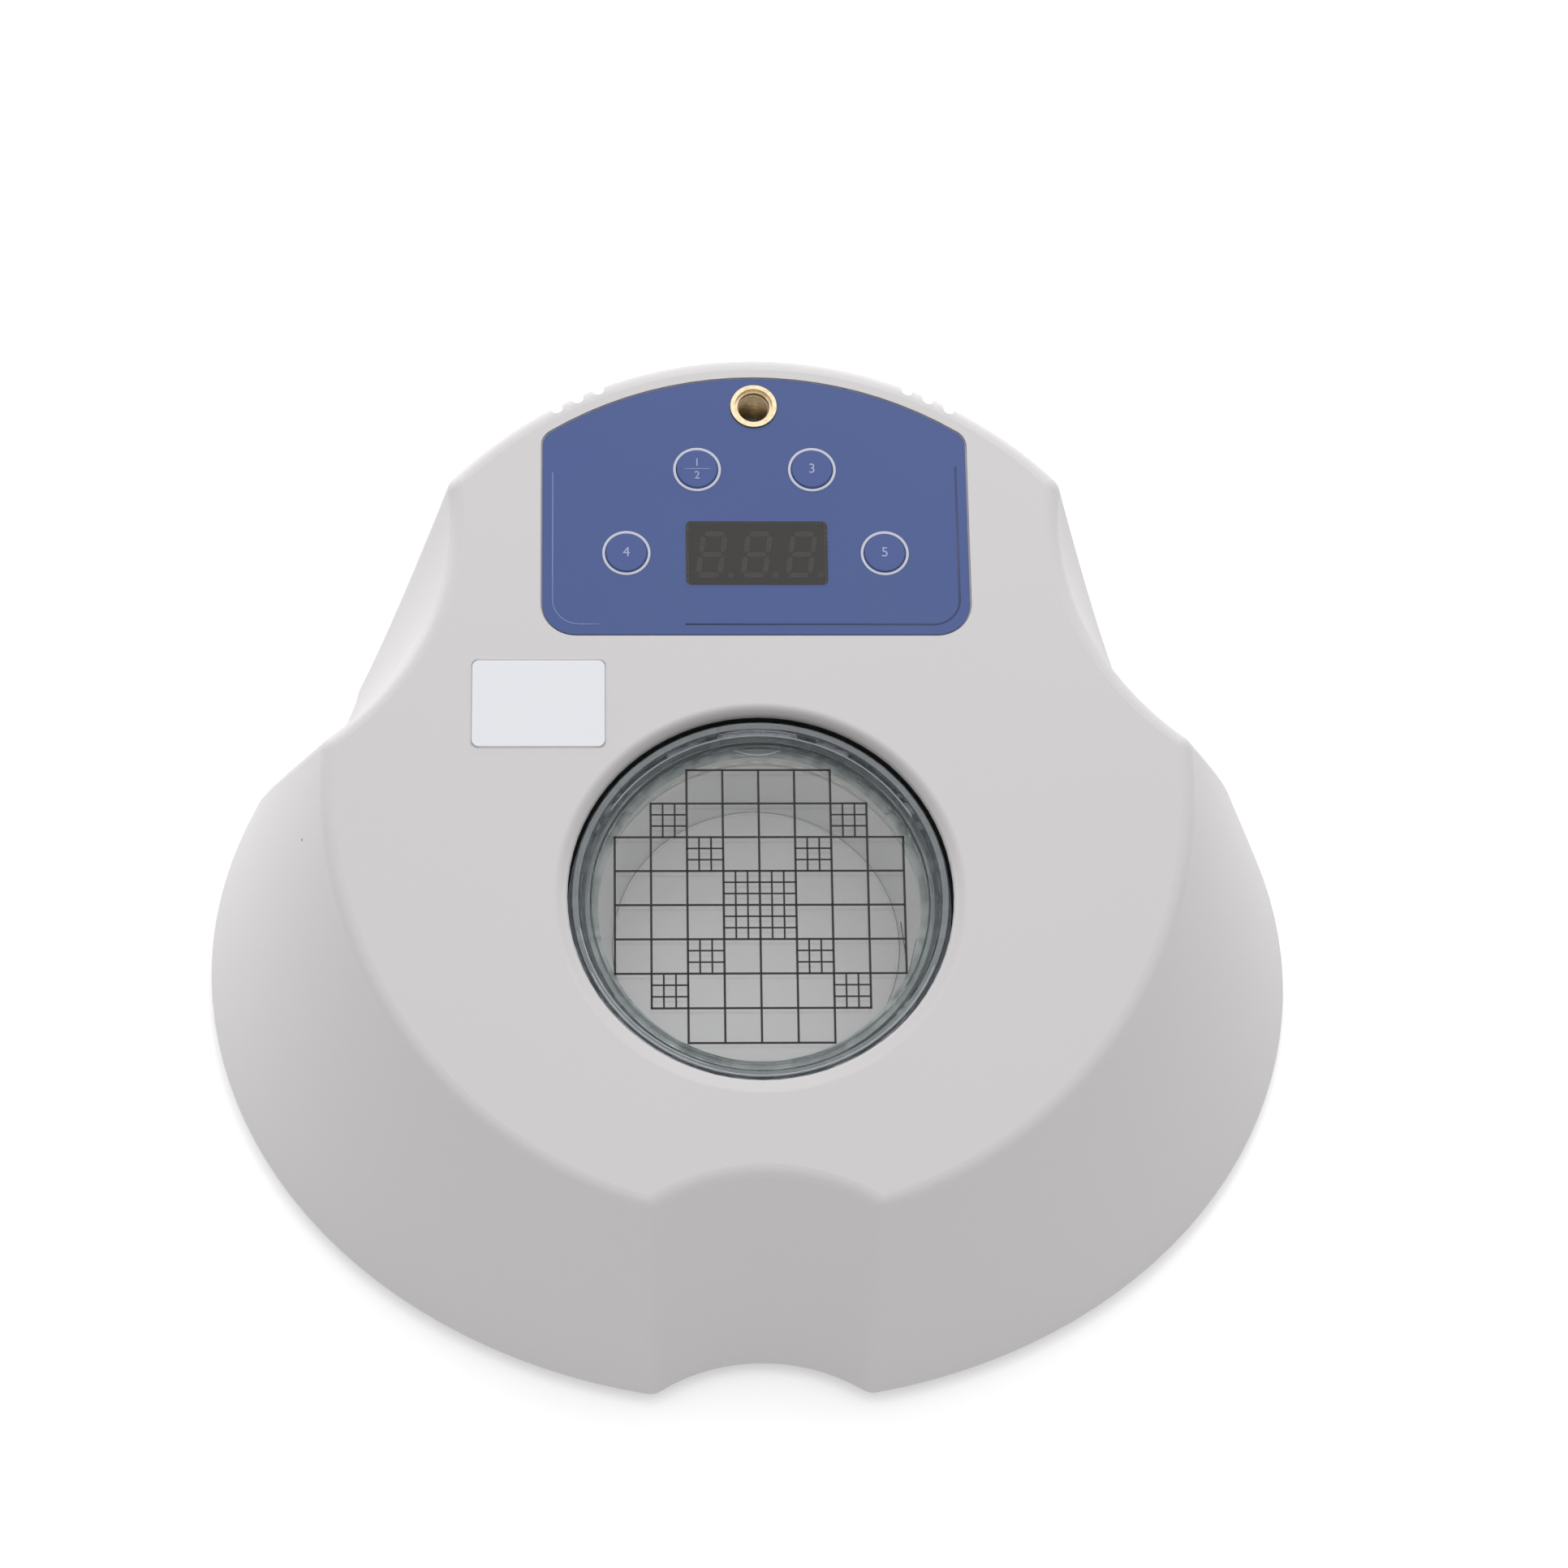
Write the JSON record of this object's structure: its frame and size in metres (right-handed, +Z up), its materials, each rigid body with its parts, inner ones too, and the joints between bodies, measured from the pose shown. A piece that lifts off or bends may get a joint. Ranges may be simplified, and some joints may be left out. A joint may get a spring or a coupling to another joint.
{
  "type": "colony counter",
  "caption": "Bench colony counter: round sloping case with a lit, pressure sensing stage under a gridded glass disc, a key and display panel, and a lens arm socket.",
  "frame": {"origin": "on the axis of the case's round base, at the level its feet stand on", "axes": "+X to the user's right, +Y to the rear, +Z up"},
  "size_m": [0.316, 0.3061, 0.1442],
  "materials": {
    "case_plastic": "satin off-white moulding",
    "base_plastic": "plain grey moulding",
    "foot_rubber": "matt black rubber",
    "screw_steel": "zinc plated",
    "panel_film": "fine textured blue film",
    "window_film": "smoked, satin",
    "display_body": "matt dark grey",
    "segment_resin": "unlit translucent resin",
    "bezel_film": "pale silver",
    "key_plastic": "fine textured blue",
    "brass": "turned and plated",
    "label_film": "bare satin silver film",
    "seal_rubber": "matt black",
    "ring_acrylic": "clear turned acrylic",
    "disc_glass": "clear float glass with a printed grid",
    "stage_plastic": "satin light grey",
    "well_plastic": "matt white moulding",
    "background_plastic": "matt light grey",
    "board_laminate": "green solder mask",
    "led_resin": "pale resin",
    "component_plastic": "matt black",
    "spring_steel": "drawn wire",
    "sensor_body": "dark grey",
    "rear_plate": "satin grey",
    "switch_plastic": "fine textured black",
    "port_metal": "bright plated shell",
    "cable_grey": "grey flat cable"
  },
  "bodies": {
    "root": {"upper_case": "case_plastic", "base_plate": "base_plastic", "base_screws": "screw_steel", "feet": "foot_rubber", "control_overlay": "panel_film", "display_window": "window_film", "display_module": "display_body", "display_segments": "segment_resin", "key_bezels": "bezel_film", "control_board": "board_laminate", "control_board_screws": "screw_steel", "key_switches": "component_plastic", "arm_socket": "brass", "label_plate": "label_film", "stage_seal": "seal_rubber", "light_well": "well_plastic", "background_disc": "background_plastic", "led_board": "board_laminate", "leds": "led_resin", "guide_screws": "screw_steel", "guide_nuts": "screw_steel", "stage_springs": "spring_steel", "light_well_screws": "screw_steel", "pressure_sensor": "sensor_body", "rear_panel": "rear_plate", "rear_panel_screws": "screw_steel", "power_switch": "switch_plastic", "serial_port": "port_metal", "serial_jackscrews": "screw_steel", "sensitivity_control": "port_metal", "power_inlet": "switch_plastic", "power_inlet_nut": "screw_steel", "main_board": "board_laminate", "main_board_screws": "screw_steel", "buzzer": "component_plastic", "board_components": "component_plastic", "cable_headers": "component_plastic", "ribbon_cable": "cable_grey"},
    "stage": {"stage_ring": "stage_plastic"},
    "graticule_disc": {"graticule_disc": "disc_glass"},
    "centring_ring": {"centring_ring": "ring_acrylic"},
    "key_upper_left": {"key_upper_left": "key_plastic"},
    "key_upper_right": {"key_upper_right": "key_plastic"},
    "key_lower_left": {"key_lower_left": "key_plastic"},
    "key_lower_right": {"key_lower_right": "key_plastic"},
    "power_rocker": {"power_rocker": "switch_plastic"},
    "sensitivity_knob": {"sensitivity_knob": "switch_plastic"}
  },
  "joints": [
    {"name": "stage_press", "type": "slide", "parent": "root", "child": "stage", "axis": [0, 0.3295, -0.9441], "range_m": [0, 0.0008], "stiffness_N_per_m": 2000, "springref_m": -0.002, "deforming": ["stage_springs"]},
    {"name": "disc_lift", "type": "slide", "parent": "stage", "child": "graticule_disc", "axis": [0, -0.3295, 0.9441], "range_m": [0, 0.025]},
    {"name": "ring_lift", "type": "slide", "parent": "graticule_disc", "child": "centring_ring", "axis": [0, -0.3295, 0.9441], "range_m": [0, 0.025]},
    {"name": "key_upper_left_press", "type": "slide", "parent": "root", "child": "key_upper_left", "axis": [0, 0.3295, -0.9441], "range_m": [0, 0.0004], "stiffness_N_per_m": 1500, "springref_m": -0.001},
    {"name": "key_upper_right_press", "type": "slide", "parent": "root", "child": "key_upper_right", "axis": [0, 0.3295, -0.9441], "range_m": [0, 0.0004], "stiffness_N_per_m": 1500, "springref_m": -0.001},
    {"name": "key_lower_left_press", "type": "slide", "parent": "root", "child": "key_lower_left", "axis": [0, 0.3295, -0.9441], "range_m": [0, 0.0004], "stiffness_N_per_m": 1500, "springref_m": -0.001},
    {"name": "key_lower_right_press", "type": "slide", "parent": "root", "child": "key_lower_right", "axis": [0, 0.3295, -0.9441], "range_m": [0, 0.0004], "stiffness_N_per_m": 1500, "springref_m": -0.001},
    {"name": "power_rocker_tip", "type": "hinge", "parent": "root", "child": "power_rocker", "pos_m": [-0.033, 0.1211, 0.03], "axis": [1, 0, 0], "range_deg": [0, 14]},
    {"name": "sensitivity_turn", "type": "hinge", "parent": "root", "child": "sensitivity_knob", "pos_m": [0.0175, 0.1296, 0.03], "axis": [0, 1, 0], "range_deg": [-140, 140]}
  ]
}
